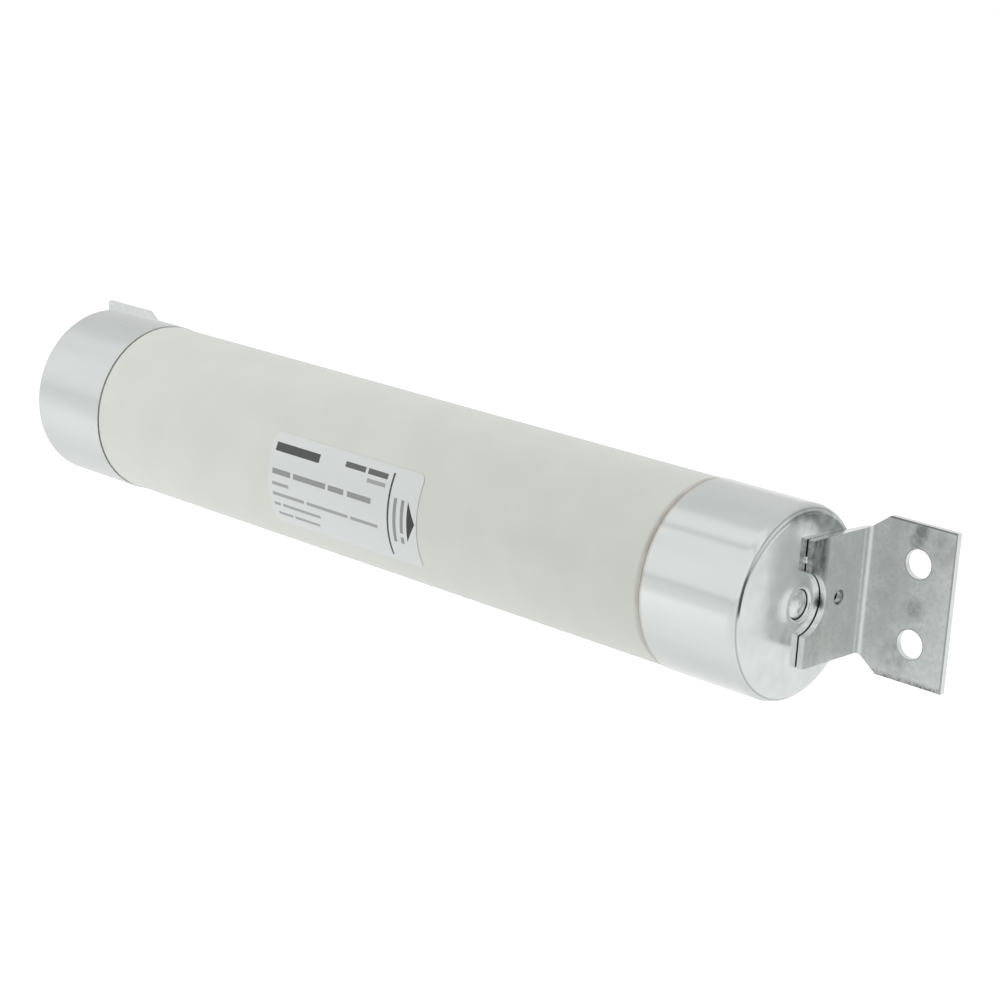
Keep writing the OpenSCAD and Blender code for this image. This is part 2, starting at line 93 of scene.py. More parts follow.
# Steatite ceramic, turned, fired and left with a satin glaze: ivory, soft in light, with faint clouds
def barrel_ceramic():
    material, tree, place = start_material("satin_glazed_steatite")
    clouds = add(tree, "TexNoise", {"Vector": place["Object"], "Scale": 1 / (26 * MM), "Detail": 2.0})[0]
    fine = add(tree, "TexNoise", {"Vector": place["Object"], "Scale": 1 / (1.1 * MM), "Detail": 2.0})[0]
    cloudy = add(tree, "MapRange", [clouds, 0.35, 0.65, 0, 1])[0]
    body = add(tree, "Mix", {0: cloudy, 6: linear("#D5D9D1"), 7: linear("#DADDD5")}, data_type="RGBA")[2]
    specks = add(tree, "MapRange", [fine, 0.62, 0.75, 0, 0.25])[0]
    body = add(tree, "Mix", {0: specks, 6: body, 7: linear("#CED1C8")}, data_type="RGBA")[2]
    # A thin brown line at the lip of the striker end's cap is painted shadow of the lip, with a little brown
    # glue in it
    along = add(tree, "SeparateXYZ", [place["Object"]])["X"]
    lip_shadow_and_glue = add(tree, "MapRange", [along, LIP_X - 3.6 * MM, LIP_X - 1.0 * MM, 0, 1],
              interpolation_type="SMOOTHSTEP")[0]
    patches = add(tree, "TexNoise", {"Vector": place["Object"], "Scale": 1 / (14 * MM), "Detail": 1.0})[0]
    uneven = add(tree, "MapRange", [patches, 0.35, 0.65, 0.4, 0.75])[0]
    lip_shadow_and_glue = add(tree, "Math", [lip_shadow_and_glue, uneven], operation="MULTIPLY")[0]
    body = add(tree, "Mix", {0: lip_shadow_and_glue, 6: body, 7: linear("#A0978B")}, data_type="RGBA")[2]
    rough = add(tree, "MapRange", [clouds, 0.3, 0.7, 0.36, 0.48])[0]
    ground = add(tree, "TexNoise", {"Vector": place["Object"], "Scale": 1 / (1.6 * MM), "Detail": 3.0})[0]
    relief = add(tree, "Bump", {"Height": ground, "Distance": 0.03 * MM, "Strength": 0.5})[0]
    shader = add(tree, "BsdfPrincipled", {"Base Color": body, "Metallic": 0.0, "Roughness": rough,
                                          "IOR": 1.55, "Normal": relief})
    add(tree, "OutputMaterial", [shader["BSDF"]])
    return material


# Bright tin plate on drawn copper sheet: an even, smooth mirror with soft waves, and painted shade along the
# lip at the striker end
def cap_plate():
    material, tree, place = start_material("tin_plated_drawn_copper")
    at = add(tree, "SeparateXYZ", [place["Object"]])
    facing = add(tree, "SeparateXYZ", [place["Normal"]])
    facing_along = add(tree, "Math", [facing["X"]], operation="ABSOLUTE")[0]
    striker_end = add(tree, "Math", [at["X"], 0], operation="GREATER_THAN")[0]
    plain_end = add(tree, "Math", [at["X"], 0], operation="LESS_THAN")[0]
    # The drawn wall is one even grey, and its lip at the striker end is painted a dull brown as shade along
    # the joint with the barrel
    band_size = add(tree, "Mapping", {
        "Vector": place["Object"], "Scale": [1 / (size * MM) for size in (50, 12, 12)]})[0]
    bands = add(tree, "TexNoise", {"Vector": band_size, "Scale": 1.0, "Detail": 2.0})[0]
    banded = add(tree, "MapRange", [bands, 0.35, 0.65, 0, 1])[0]
    wall = add(tree, "Mix", {0: banded, 6: linear("#D5D9D8"), 7: linear("#D9DDDC")}, data_type="RGBA")[2]
    lip_shade = add(tree, "MapRange", [at["X"], LIP_X + 0.2 * MM, LIP_X + 1.4 * MM, 0.75, 0])[0]
    lip_shade = add(tree, "Math", [lip_shade, striker_end], operation="MULTIPLY")[0]
    wall = add(tree, "Mix", {0: lip_shade, 6: wall, 7: linear("#B1A79E")}, data_type="RGBA")[2]
    # The end's face is given a brighter tint than the wall as painted light. Above the striker end's tag a
    # mottled grey is painted on it as a reflection of the tag, a little darker just inside the corner, and
    # the face is painted darker as shade in the tag's small hole
    flecks = add(tree, "TexNoise", {"Vector": place["Object"], "Scale": 1 / (7 * MM), "Detail": 3.0})[0]
    flecked = add(tree, "MapRange", [flecks, 0.35, 0.7, 0, 1])[0]
    face_with_painted_light = add(tree, "Mix", {0: flecked, 6: linear("#E2E6E5"), 7: linear("#DADEDD")}, data_type="RGBA")[2]
    leaning = add(tree, "Math", [at["Y"], 0.4, at["Z"]], operation="MULTIPLY_ADD")[0]
    high = add(tree, "MapRange", [leaning, 9 * MM, 17 * MM, 0, 1], interpolation_type="SMOOTHSTEP")[0]
    behind = add(tree, "MapRange", [at["Y"], AXIS_Y - 15 * MM, AXIS_Y - 7 * MM, 0, 1],
                 interpolation_type="SMOOTHSTEP")[0]
    darkening = add(tree, "Math", [high, behind], operation="MULTIPLY")[0]
    across = add(tree, "CombineXYZ", {1: at["Y"], 2: at["Z"]})[0]
    from_axis = add(tree, "VectorMath", [across, (0, AXIS_Y, 0)], operation="DISTANCE")["Value"]
    darker_toward_corner = add(tree, "MapRange", [from_axis, 31 * MM, 33.5 * MM, 0, 0.08])[0]
    mottle = add(tree, "TexNoise", {"Vector": place["Object"], "Scale": 1 / (4 * MM), "Detail": 4.0})[0]
    mottled = add(tree, "MapRange", [mottle, 0.35, 0.65, 0.35, 0.72])[0]
    mottled = add(tree, "Math", [mottled, darker_toward_corner], operation="ADD")[0]
    darkening = add(tree, "Math", [darkening, mottled], operation="MULTIPLY")[0]
    from_jig = add(tree, "VectorMath", [across, (0, JIG_HOLE_Y, 0)], operation="DISTANCE")["Value"]
    jig_hole_shade = add(tree, "MapRange", [from_jig, 3.2 * MM, 1.6 * MM, 0, 0.6])[0]
    darkening = add(tree, "Math", [darkening, jig_hole_shade], operation="MAXIMUM")[0]
    darkening = add(tree, "Math", [darkening, striker_end], operation="MULTIPLY")[0]
    face_with_painted_light = add(tree, "Mix", {0: darkening, 6: face_with_painted_light, 7: linear("#8B908F")}, data_type="RGBA")[2]
    end = add(tree, "MapRange", [facing_along, 0.5, 0.95, 0, 1])[0]
    plate = add(tree, "Mix", {0: end, 6: wall, 7: face_with_painted_light}, data_type="RGBA")[2]
    # A fine grey ring is painted round the corner
    off_ring = add(tree, "Math", [from_axis, CORNER_RING_R], operation="SUBTRACT")[0]
    off_ring = add(tree, "Math", [off_ring], operation="ABSOLUTE")[0]
    ring = add(tree, "MapRange", [off_ring, 0.4 * MM, 0.1 * MM, 0, 0.5])[0]
    on_corner = add(tree, "MapRange", [facing_along, 0.3, 0.5, 0, 1])[0]
    ring = add(tree, "Math", [ring, on_corner], operation="MULTIPLY")[0]
    plate = add(tree, "Mix", {0: ring, 6: plate, 7: linear("#7C8281")}, data_type="RGBA")[2]
    # The plain end's cap is the duller of the two, and its lower half is painted greyer as shade
    painted_lower_shade = add(tree, "MapRange", [at["Z"], -2 * MM, -20 * MM, 0, 0.5])[0]
    painted_lower_shade = add(tree, "Math", [painted_lower_shade, plain_end], operation="MULTIPLY")[0]
    plate = add(tree, "Mix", {0: painted_lower_shade, 6: plate, 7: linear("#BEC2C1")}, data_type="RGBA")[2]
    wall_rough = add(tree, "MapRange", [bands, 0.3, 0.7, 0.13, 0.18])[0]
    wall_rough = add(tree, "Math", [plain_end, 0.14, wall_rough], operation="MULTIPLY_ADD")[0]
    patches = add(tree, "TexNoise", {"Vector": place["Object"], "Scale": 1 / (5 * MM), "Detail": 3.0})[0]
    face_rough = add(tree, "MapRange", [patches, 0.3, 0.7, 0.1, 0.18])[0]
    rough = add(tree, "Mix", {0: end, 2: wall_rough, 3: face_rough}, data_type="FLOAT")[0]
    # Drawing leaves soft waves on the whole cap, and small dents on its face
    wave_size = add(tree, "Mapping", {
        "Vector": place["Object"], "Scale": [1 / (size * MM) for size in (16, 7, 7)]})[0]
    waves = add(tree, "TexNoise", {"Vector": wave_size, "Scale": 1.0, "Detail": 2.0})[0]
    dents = add(tree, "TexNoise", {"Vector": place["Object"], "Scale": 1 / (3 * MM), "Detail": 2.0})[0]
    dents = add(tree, "Math", [dents, end], operation="MULTIPLY")[0]
    height = add(tree, "Math", [dents, 0.5, waves], operation="MULTIPLY_ADD")[0]
    # The slope of the boss runs out softly into the face
    off_base = add(tree, "Math", [from_axis, BOSS_BASE_R], operation="SUBTRACT")[0]
    squared = add(tree, "Math", [off_base, off_base], operation="MULTIPLY")[0]
    squared = add(tree, "Math", [squared, (0.4 * MM) ** 2], operation="ADD")[0]
    rounded = add(tree, "Math", [squared], operation="SQRT")[0]
    fillet = add(tree, "MapRange", [rounded, 0, 3 * MM, 1, 0])[0]
    fillet = add(tree, "Math", [fillet, 2.0], operation="POWER")[0]
    fillet = add(tree, "Math", [fillet, striker_end], operation="MULTIPLY")[0]
    run_out = add(tree, "Bump", {"Height": fillet, "Distance": 0.07 * MM, "Strength": 1.0})[0]
    relief = add(tree, "Bump", {
        "Height": height, "Distance": 0.02 * MM, "Strength": 0.4, "Normal": run_out})[0]
    shader = add(tree, "BsdfPrincipled", {"Base Color": plate, "Metallic": 1.0, "Roughness": rough,
                                          "Normal": relief})
    add(tree, "OutputMaterial", [shader["BSDF"]])
    return material


# Middle, radius and strength of each smudge on the striker end's tag, in millimetres: the first five are left
# by bolting, above and between the holes, one is in the edge of the notch, and one at the foot's lower corner
TAG_SMUDGES = [
    ((233.8, -2.6, 28.6), 5.0, 0.6),
    ((231.8, -2.6, 24.6), 4.6, 0.55),
    ((233.2, -2.6, -1.8), 6.5, 0.38),
    ((227.0, -2.6, -22.0), 10.0, 0.28),
    ((243.0, -2.6, 24.0), 9.0, 0.25),
    ((206.2, -28.0, -1.0), 5.6, 1.0),
    ((210.5, -34.0, -19.0), 4.5, 0.3),
]


# Tin plate on pressed copper strip: greyer than the caps, softly mottled, bright where it was sheared
def tag_plate():
    material, tree, place = start_material("tin_plated_pressed_strip")
    at = add(tree, "SeparateXYZ", [place["Object"]])
    facing = add(tree, "SeparateXYZ", [place["Normal"]])
    from_middle = add(tree, "Math", [at["X"]], operation="ABSOLUTE")[0]
    facing_along = add(tree, "Math", [facing["X"]], operation="ABSOLUTE")[0]
    facing_across = add(tree, "Math", [facing["Y"]], operation="ABSOLUTE")[0]
    facing_up = add(tree, "Math", [facing["Z"]], operation="ABSOLUTE")[0]
    striker_end = add(tree, "Math", [at["X"], 0], operation="GREATER_THAN")[0]
    plain_end = add(tree, "Math", [at["X"], 0], operation="LESS_THAN")[0]
    mottle = add(tree, "TexNoise", {
        "Vector": place["Object"], "Scale": 1 / (6 * MM), "Detail": 4.0, "Roughness": 0.6})[0]
    mottled = add(tree, "MapRange", [mottle, 0.35, 0.65, 0, 1])[0]
    plate = add(tree, "Mix", {0: mottled, 6: linear("#CACECC"), 7: linear("#DADEDC")}, data_type="RGBA")[2]
    fine = add(tree, "TexNoise", {"Vector": place["Object"], "Scale": 1 / (1.5 * MM), "Detail": 3.0})[0]
    specks = add(tree, "MapRange", [fine, 0.42, 0.68, 0, 0.65])[0]
    plate = add(tree, "Mix", {0: specks, 6: plate, 7: linear("#BFC3C1")}, data_type="RGBA")[2]
    # The foot is painted brighter towards the bend as painted light, most of all where the bend starts, as a
    # painted highlight. The plain end's tag is painted brighter all over as painted light
    painted_light = add(tree, "MapRange", [from_middle, TAG_FACE_X + 2.0 * MM, TAG_FACE_X + 1.0 * MM, 0, 1],
              interpolation_type="SMOOTHSTEP")[0]
    towards_bend = add(tree, "MapRange", [at["Y"], -24 * MM, -6 * MM, 0.1, 0.45])[0]
    at_bend = add(tree, "MapRange", [at["Y"], -6.6 * MM, -5.6 * MM, 0, 0.6],
                  interpolation_type="SMOOTHSTEP")[0]
    before_bend = add(tree, "MapRange", [at["Y"], -4.8 * MM, -4.0 * MM, 1, 0])[0]
    at_bend = add(tree, "Math", [at_bend, before_bend], operation="MULTIPLY")[0]
    towards_bend = add(tree, "Math", [towards_bend, at_bend], operation="ADD")[0]
    painted_light = add(tree, "Math", [painted_light, towards_bend], operation="MULTIPLY")[0]
    all_over = add(tree, "Math", [plain_end, 0.4], operation="MULTIPLY")[0]
    painted_light = add(tree, "Math", [painted_light, all_over], operation="MAXIMUM")[0]
    plate = add(tree, "Mix", {0: painted_light, 6: plate, 7: linear("#EEF2F0")}, data_type="RGBA")[2]
    # The foot is stained by flux in a band beside its free edge, more so in its upper half
    flux_size = add(tree, "Mapping", {
        "Vector": place["Object"], "Scale": [1 / (size * MM) for size in (4, 2.2, 5)]})[0]
    flux = add(tree, "TexNoise", {"Vector": flux_size, "Scale": 1.0, "Detail": 4.0, "Roughness": 0.7})[0]
    flux = add(tree, "MapRange", [flux, 0.38, 0.58, 0.25, 1])[0]
    free_edge = add(tree, "MapRange", [at["Y"], TAG_FREE_EDGE_Y + 8 * MM, TAG_FREE_EDGE_Y + 11 * MM, 1, 0])[0]
    upper = add(tree, "MapRange", [at["Z"], 8 * MM, 13 * MM, 0.2, 0.85])[0]
    banded = add(tree, "MapRange", [flux, 0.25, 1, 0.65, 1])[0]
    darkening = add(tree, "Math", [free_edge, banded], operation="MULTIPLY")[0]
    darkening = add(tree, "Math", [darkening, upper], operation="MULTIPLY")[0]
    for middle, radius, depth in TAG_SMUDGES:
        middle = [part * MM for part in middle]
        away = add(tree, "VectorMath", [place["Object"], middle], operation="DISTANCE")["Value"]
        spot = add(tree, "MapRange", [away, radius * MM, 0.35 * radius * MM, 0, depth],
                   interpolation_type="SMOOTHSTEP")[0]
        spot = add(tree, "Math", [spot, flux], operation="MULTIPLY")[0]
        darkening = add(tree, "Math", [darkening, spot], operation="MAXIMUM")[0]
    # The small hole was punched from behind and has a dark, ragged rim
    across = add(tree, "CombineXYZ", {1: at["Y"], 2: at["Z"]})[0]
    from_jig = add(tree, "VectorMath", [across, (0, JIG_HOLE_Y, 0)], operation="DISTANCE")["Value"]
    off_rim = add(tree, "Math", [from_jig, JIG_HOLE_R + 0.15 * MM], operation="SUBTRACT")[0]
    off_rim = add(tree, "Math", [off_rim], operation="ABSOLUTE")[0]
    jig_rim = add(tree, "MapRange", [off_rim, 0.45 * MM, 0.2 * MM, 0, 1])[0]
    jig_rim = add(tree, "Math", [jig_rim, flux], operation="MULTIPLY")[0]
    flat_on = add(tree, "MapRange", [facing_along, 0.8, 0.95, 0, 0.9])[0]
    jig_rim = add(tree, "Math", [jig_rim, flat_on], operation="MULTIPLY")[0]
    darkening = add(tree, "Math", [darkening, jig_rim], operation="MAXIMUM")[0]
    # Each fixing hole has a thin grey rim
    height = add(tree, "Math", [at["Z"]], operation="ABSOLUTE")[0]
    flat = add(tree, "CombineXYZ", {0: from_middle, 2: height})[0]
    hole = (FIXING_HOLE_X, 0, FIXING_HOLE_Z)
    from_fixing = add(tree, "VectorMath", [flat, hole], operation="DISTANCE")["Value"]
    off_rim = add(tree, "Math", [from_fixing, FIXING_HOLE_R + 0.2 * MM], operation="SUBTRACT")[0]
    off_rim = add(tree, "Math", [off_rim], operation="ABSOLUTE")[0]
    fixing_rim = add(tree, "MapRange", [off_rim, 0.45 * MM, 0.15 * MM, 0, 0.3])[0]
    darkening = add(tree, "Math", [darkening, fixing_rim], operation="MAXIMUM")[0]
    # A burr catches dirt: lines under the blade's top edge and inside its end, dots above its bottom edge
    grit = add(tree, "TexNoise", {
        "Vector": place["Object"], "Scale": 1 / (1.0 * MM), "Detail": 4.0, "Roughness": 0.7})[0]
    dots = add(tree, "MapRange", [grit, 0.45, 0.6, 0, 1])[0]
    dots = add(tree, "Math", [dots, 0.6, 0.25], operation="MULTIPLY_ADD")[0]
    bottom = add(tree, "MapRange", [at["Z"], -BLADE_HALF + 2.4 * MM, -BLADE_HALF + 0.7 * MM, 0, 1])[0]
    bottom = add(tree, "Math", [bottom, dots], operation="MULTIPLY")[0]
    top = add(tree, "MapRange", [at["Z"], BLADE_HALF - 0.9 * MM, BLADE_HALF - 0.6 * MM, 0, 0.6])[0]
    blade_end = add(tree, "MapRange", [at["X"], BLADE_END_X - 0.9 * MM, BLADE_END_X - 0.6 * MM, 0, 0.4])[0]
    burr = add(tree, "Math", [top, blade_end], operation="MAXIMUM")[0]
    burr = add(tree, "Math", [bottom, burr], operation="MAXIMUM")[0]
    burr = add(tree, "Math", [burr, striker_end], operation="MULTIPLY")[0]
    # The foot's cut edges do not face along the fuse, and the blade's do not face across it
    on_foot = add(tree, "Math", [from_middle, TAG_FACE_X + 0.1 * MM], operation="LESS_THAN")[0]
    on_blade = add(tree, "Math", [from_middle, TAG_FACE_X + 2.1 * MM], operation="GREATER_THAN")[0]
    flat_part = add(tree, "Math", [on_foot, on_blade], operation="MAXIMUM")[0]
    turned = add(tree, "Mix", {0: on_foot, 2: facing_across, 3: facing_along}, data_type="FLOAT")[0]
    sheared = add(tree, "MapRange", [turned, 0.9, 0.6, 0, 1])[0]
    sheared = add(tree, "Math", [sheared, flat_part], operation="MULTIPLY")[0]
    upright = add(tree, "MapRange", [facing_up, 0.5, 0.9, 0, 1])[0]
    sheared = add(tree, "Math", [sheared, upright], operation="MAXIMUM")[0]
    # The foot's own are the brightest, as solder has wetted them
    wetted = add(tree, "Math", [sheared, on_foot], operation="MULTIPLY")[0]
    edge = add(tree, "Mix", {0: wetted, 6: linear("#EEF1EF"), 7: linear("#F8FAF9")}, data_type="RGBA")[2]
    plate = add(tree, "Mix", {0: sheared, 6: plate, 7: edge}, data_type="RGBA")[2]
    unsheared = add(tree, "Math", [sheared, -1.0, 1.0], operation="MULTIPLY_ADD")[0]
    burr = add(tree, "Math", [burr, unsheared], operation="MULTIPLY")[0]
    side = add(tree, "Math", [wetted, free_edge], operation="MULTIPLY")[0]
    side = add(tree, "Math", [side, banded], operation="MULTIPLY")[0]
    side_high = add(tree, "MapRange", [at["Z"], 16 * MM, 19 * MM, 0, 0.9])[0]
    side = add(tree, "Math", [side, side_high], operation="MULTIPLY")[0]
    darkening = add(tree, "Math", [darkening, side], operation="MAXIMUM")[0]
    clean_top = add(tree, "MapRange", [facing["Z"], 0.5, 0.9, 1, 0])[0]
    darkening = add(tree, "Math", [darkening, clean_top], operation="MULTIPLY")[0]
    blade_edge = add(tree, "Math", [sheared, wetted], operation="SUBTRACT")[0]
    on_face = add(tree, "Math", [blade_edge, -1.0, 1.0], operation="MULTIPLY_ADD")[0]
    darkening = add(tree, "Math", [darkening, on_face], operation="MULTIPLY")[0]
    dirt = add(tree, "Math", [darkening, burr], operation="MAXIMUM")[0]
    plate = add(tree, "Mix", {0: dirt, 6: plate, 7: linear("#4E5251")}, data_type="RGBA")[2]
    rough = add(tree, "MapRange", [mottle, 0.3, 0.7, 0.44, 0.58])[0]
    rough = add(tree, "Math", [painted_light, -0.14, rough], operation="MULTIPLY_ADD")[0]
    rough = add(tree, "Math", [wetted, -0.27, rough], operation="MULTIPLY_ADD")[0]
    rough = add(tree, "Math", [at_bend, -0.3, rough], operation="MULTIPLY_ADD")[0]
    skin = add(tree, "TexNoise", {"Vector": place["Object"], "Scale": 1 / (2.5 * MM), "Detail": 3.0})[0]
    relief = add(tree, "Bump", {"Height": skin, "Distance": 0.02 * MM, "Strength": 0.4})[0]
    shader = add(tree, "BsdfPrincipled", {"Base Color": plate, "Metallic": 1.0, "Roughness": rough,
                                          "Normal": relief})
    add(tree, "OutputMaterial", [shader["BSDF"]])
    return material


# Bars of the label's print, in millimetres: from and to along the fuse, low and high round the barrel, ink
LABEL_BARS = [
    (-43.5, -16.8, 10.4, 14.2, 0.93),
    (-1.5, 10.5, 12.4, 14.8, 0.86), (12.0, 23.5, 12.4, 14.8, 0.86),
    (12.5, 23.3, 8.9, 10.6, 0.5),
    (-43.5, -32.3, 0.5, 2.9, 0.6), (-30.6, -10.8, 0.5, 2.9, 0.6), (-9.2, 0.2, 0.5, 2.9, 0.6),
    (2.4, 16.4, 0.5, 2.9, 0.6),
    (-43.5, -33.3, -4.4, -2.9, 0.5),
    (-43.5, -24.0, -9.1, -7.6, 0.5), (-22.4, 2.6, -9.1, -7.6, 0.5), (4.2, 20.4, -9.1, -7.6, 0.5),
    (-43.5, -39.6, -13.8, -12.4, 0.5), (-38.2, -14.8, -13.8, -12.4, 0.5),
    (-42.4, -33.6, -18.5, -17.1, 0.5), (-32.2, -16.8, -18.5, -17.1, 0.5),
    (26.1, 27.1, -20.0, 16.0, 0.97),
    (29.5, 31.3, -12.5, 6.2, 0.6),
    (33.7, 35.5, -12.5, -9.6, 0.6), (33.7, 35.5, -7.8, 6.2, 0.6),
]
ARROW_BACK, ARROW_TIP, ARROW_MIDDLE, ARROW_HALF = 37.5, 42.1, -2.3, 8.7


# White polyester film with a printed face: semi-gloss, with plain dark bars, a rule and an arrowhead
def printed_film():
    material, tree, place = start_material("printed_polyester_film")
    # Place on the film in millimetres: along the fuse, and round the barrel from its front
    at = add(tree, "SeparateXYZ", [place["Object"]])
    along = add(tree, "Math", [at["X"], MM], operation="DIVIDE")[0]
    out = add(tree, "Math", [AXIS_Y, at["Y"]], operation="SUBTRACT")[0]
    angle = add(tree, "Math", [at["Z"], out], operation="ARCTAN2")[0]
    round_mm = add(tree, "Math", [angle, BARREL_R / MM], operation="MULTIPLY")[0]
    ink = 0.0
    for start, end, low, high, weight in LABEL_BARS:
        in_length = add(tree, "Math", [along, (start + end) / 2, (end - start) / 2], operation="COMPARE")[0]
        in_height = add(tree, "Math", [round_mm, (low + high) / 2, (high - low) / 2], operation="COMPARE")[0]
        bar = add(tree, "Math", [in_length, in_height], operation="MULTIPLY")[0]
        ink = add(tree, "Math", [bar, weight, ink], operation="MULTIPLY_ADD")[0]
    off_middle = add(tree, "Math", [round_mm, ARROW_MIDDLE], operation="SUBTRACT")[0]
    off_middle = add(tree, "Math", [off_middle], operation="ABSOLUTE")[0]
    lean = (ARROW_TIP - ARROW_BACK) / ARROW_HALF
    sloped = add(tree, "Math", [off_middle, lean, along], operation="MULTIPLY_ADD")[0]
    before_tip = add(tree, "Math", [sloped, ARROW_TIP], operation="LESS_THAN")[0]
    past_back = add(tree, "Math", [along, ARROW_BACK], operation="GREATER_THAN")[0]
    arrow = add(tree, "Math", [before_tip, past_back], operation="MULTIPLY")[0]
    ink = add(tree, "Math", [arrow, 0.98, ink], operation="MULTIPLY_ADD")[0]
    clouds = add(tree, "TexNoise", {"Vector": place["Object"], "Scale": 1 / (12 * MM), "Detail": 3.0})[0]
    film = add(tree, "Mix", {0: clouds, 6: linear("#D9DDDB"), 7: linear("#DDE1E0")}, data_type="RGBA")[2]
    print_colour = add(tree, "Mix", {0: ink, 6: film, 7: linear("#232526")}, data_type="RGBA")[2]
    rough = add(tree, "MapRange", [ink, 0, 1, 0.34, 0.5])[0]
    ripple = add(tree, "TexNoise", {"Vector": place["Object"], "Scale": 1 / (3 * MM), "Detail": 3.0})[0]
    relief = add(tree, "Bump", {"Height": ripple, "Distance": 0.01 * MM, "Strength": 0.4})[0]
    shader = add(tree, "BsdfPrincipled", {"Base Color": print_colour, "Metallic": 0.0, "Roughness": rough,
                                          "IOR": 1.5, "Normal": relief})
    add(tree, "OutputMaterial", [shader["BSDF"]])
    return material


# A plain metal piece: two close tints in spots, with a fine grain that softens what it mirrors
def plain_metal(name, dark, light, roughness, grain_mm):
    material, tree, place = start_material(name)
    spots = add(tree, "TexNoise", {"Vector": place["Object"], "Scale": 1 / (grain_mm * MM), "Detail": 4.0})[0]
    spotted = add(tree, "MapRange", [spots, 0.35, 0.65, 0, 1])[0]
    metal = add(tree, "Mix", {0: spotted, 6: linear(dark), 7: linear(light)}, data_type="RGBA")[2]
    rough = add(tree, "MapRange", [spots, 0.3, 0.7, roughness - 0.06, roughness + 0.08])[0]
    fine = add(tree, "TexNoise", {"Vector": place["Object"], "Scale": 4 / (grain_mm * MM), "Detail": 3.0})[0]
    relief = add(tree, "Bump", {"Height": fine, "Distance": 0.015 * MM, "Strength": 0.4})[0]
    shader = add(tree, "BsdfPrincipled", {"Base Color": metal, "Metallic": 1.0, "Roughness": rough,
                                          "Normal": relief})
    add(tree, "OutputMaterial", [shader["BSDF"]])
    return material


# A non-metal piece inside the fuse: matt, with its own grain
def plain_matt(name, dark, light, roughness, grain_mm, depth_mm):
    material, tree, place = start_material(name)
    spots = add(tree, "TexNoise", {
        "Vector": place["Object"], "Scale": 1 / (grain_mm * MM), "Detail": 4.0, "Roughness": 0.65})[0]
    spotted = add(tree, "MapRange", [spots, 0.35, 0.65, 0, 1])[0]
    colour = add(tree, "Mix", {0: spotted, 6: linear(dark), 7: linear(light)}, data_type="RGBA")[2]
    relief = add(tree, "Bump", {"Height": spots, "Distance": depth_mm * MM, "Strength": 0.6})[0]
    shader = add(tree, "BsdfPrincipled", {"Base Color": colour, "Metallic": 0.0, "Roughness": roughness,
                                          "Normal": relief})
    add(tree, "OutputMaterial", [shader["BSDF"]])
    return material


FINISHES = {
    barrel_ceramic(): ["ceramic_barrel"],
    printed_film(): ["rating_label"],
    cap_plate(): ["striker_end_outer_cap", "plain_end_outer_cap"],
    tag_plate(): ["striker_end_tag", "plain_end_tag"],
    plain_metal("nickel_plated_brass_pin", "#CDD1CE", "#E8ECE9", 0.16, 3): ["striker_pin"],
    plain_metal("soft_solder", "#8F9492", "#B7BCBA", 0.42, 2): [
        "striker_end_tag_solder", "plain_end_tag_solder", "solder_beads"],
    plain_metal("bare_copper", "#B3714A", "#CF9068", 0.34, 5): [
        "striker_end_inner_cap", "plain_end_inner_cap",
        "striker_end_element_plate", "plain_end_element_plate"],
    plain_metal("rolled_silver_strip", "#C9CBC6", "#E3E4DF", 0.26, 3): [
        "fuse_element_" + str(i + 1) for i in range(6)],
    plain_metal("turned_brass", "#A98A3E", "#C9AB5C", 0.28, 3): [
        "striker_tube", "striker_guide_bush", "hold_wire_ferrule", "sand_plug"],
    plain_metal("drawn_spring_steel", "#7C8080", "#9DA1A0", 0.32, 1): ["striker_spring", "striker_hold_wire"],
    plain_matt("fibre_gasket", "#5F625E", "#77796F", 0.8, 1.2, 0.08): [
        "striker_end_gasket", "plain_end_gasket"],
    plain_matt("pressed_insulation_board", "#2A2C2C", "#3A3B3A", 0.6, 1.5, 0.05): [
        "striker_end_washer", "plain_end_washer"],
    plain_matt("laminated_phenolic", "#6B4028", "#85533A", 0.5, 2, 0.04): ["striker_tail_plug"],
    plain_matt("packed_quartz_sand", "#B9AF94", "#DDD5BE", 0.85, 0.6, 0.3): ["quartz_filler"],
}
for finish, names in FINISHES.items():
    for name in names:
        slots = nodes[name].data.materials
        slots.clear()
        slots.append(finish)

# A small bright drop of solder that ran out at the foot's free edge, above the notch
DROP_R = 1.1 * MM
DROP_Z = 17.3 * MM
bpy.ops.object.select_all(action="DESELECT")
bpy.ops.mesh.primitive_uv_sphere_add(segments=32, ring_count=16, radius=DROP_R,
                                     location=(FACE_X + 0.5 * DROP_R, TAG_FREE_EDGE_Y, DROP_Z))
drop = bpy.context.object
drop.name = "solder_drop"
bpy.ops.object.transform_apply(location=True, rotation=True, scale=True)
bpy.ops.object.mode_set(mode="EDIT")
bpy.ops.mesh.select_all(action="SELECT")
bpy.ops.transform.resize(value=(0.7, 0.8, 1.3), center_override=(FACE_X, TAG_FREE_EDGE_Y, DROP_Z))
bpy.ops.mesh.bisect(plane_co=(FACE_X - 0.05 * MM, 0, 0), plane_no=(1, 0, 0), use_fill=True, clear_inner=True)
bpy.ops.object.mode_set(mode="OBJECT")
bpy.ops.object.shade_smooth_by_angle(angle=math.radians(50))
drop.data.materials.append(plain_metal("bright_solder", "#C6CBC9", "#E0E4E2", 0.2, 1))
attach(drop, "fuse_body")

